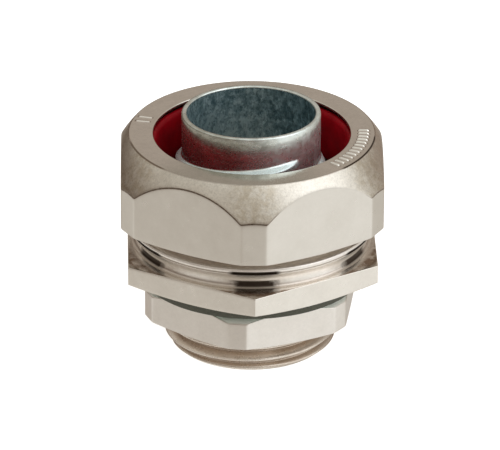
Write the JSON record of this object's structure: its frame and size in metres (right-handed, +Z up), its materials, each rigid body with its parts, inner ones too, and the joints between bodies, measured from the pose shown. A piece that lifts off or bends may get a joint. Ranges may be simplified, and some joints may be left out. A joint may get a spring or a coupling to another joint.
{
  "type": "cable gland",
  "caption": "Liquid-tight metal conduit gland with compression nut, red sealing ring, steel ferrule, hexagon body, green gasket and lock nut.",
  "frame": {"origin": "on the gland's axis at the end of the entry thread, which it stands on", "axes": "+Z up the gland's axis towards the conduit end; -Y points at a truncated corner of the hexagons"},
  "size_m": [0.0302, 0.033, 0.0286],
  "materials": {
    "body_metal": "nickel plated, satin",
    "nut_metal": "nickel plated, satin, forged chamfer",
    "ring_polyamide": "glossy red polyamide",
    "ferrule_steel": "zinc plated, mottled",
    "gasket_fibre": "matt dark green",
    "lock_nut_metal": "nickel plated, satin"
  },
  "bodies": {
    "body": {"gland_body": "body_metal"},
    "seal": {"sealing_ring": "ring_polyamide"},
    "nut": {"compression_nut": "nut_metal"},
    "ferrule": {"ferrule": "ferrule_steel"},
    "gasket": {"entry_gasket": "gasket_fibre"},
    "locknut": {"lock_nut": "lock_nut_metal"}
  },
  "joints": [
    {"name": "seal_lift", "type": "slide", "parent": "body", "child": "seal", "axis": [0, 0, 1], "range_m": [-0.0009, 0.0042]},
    {"name": "nut_turn", "type": "hinge", "parent": "seal", "child": "nut", "pos_m": [0, 0, 0.02], "axis": [0, 0, 1], "range_deg": [-216, 1008]},
    {"name": "gasket_drop", "type": "slide", "parent": "body", "child": "gasket", "axis": [0, 0, 1], "range_m": [-0.0042, 0]},
    {"name": "locknut_turn", "type": "hinge", "parent": "gasket", "child": "locknut", "pos_m": [0, 0, 0.0065], "axis": [0, 0, 1], "range_deg": [-1008, 0]},
    {"name": "ferrule_spin", "type": "hinge", "parent": "body", "child": "ferrule", "pos_m": [0, 0, 0.02], "axis": [0, 0, 1], "continuous": true}
  ],
  "couplings": [
    {"joint": "seal_lift", "follows": "nut_turn", "m_per_rad": 0.00023873},
    {"joint": "gasket_drop", "follows": "locknut_turn", "m_per_rad": 0.00023873}
  ]
}
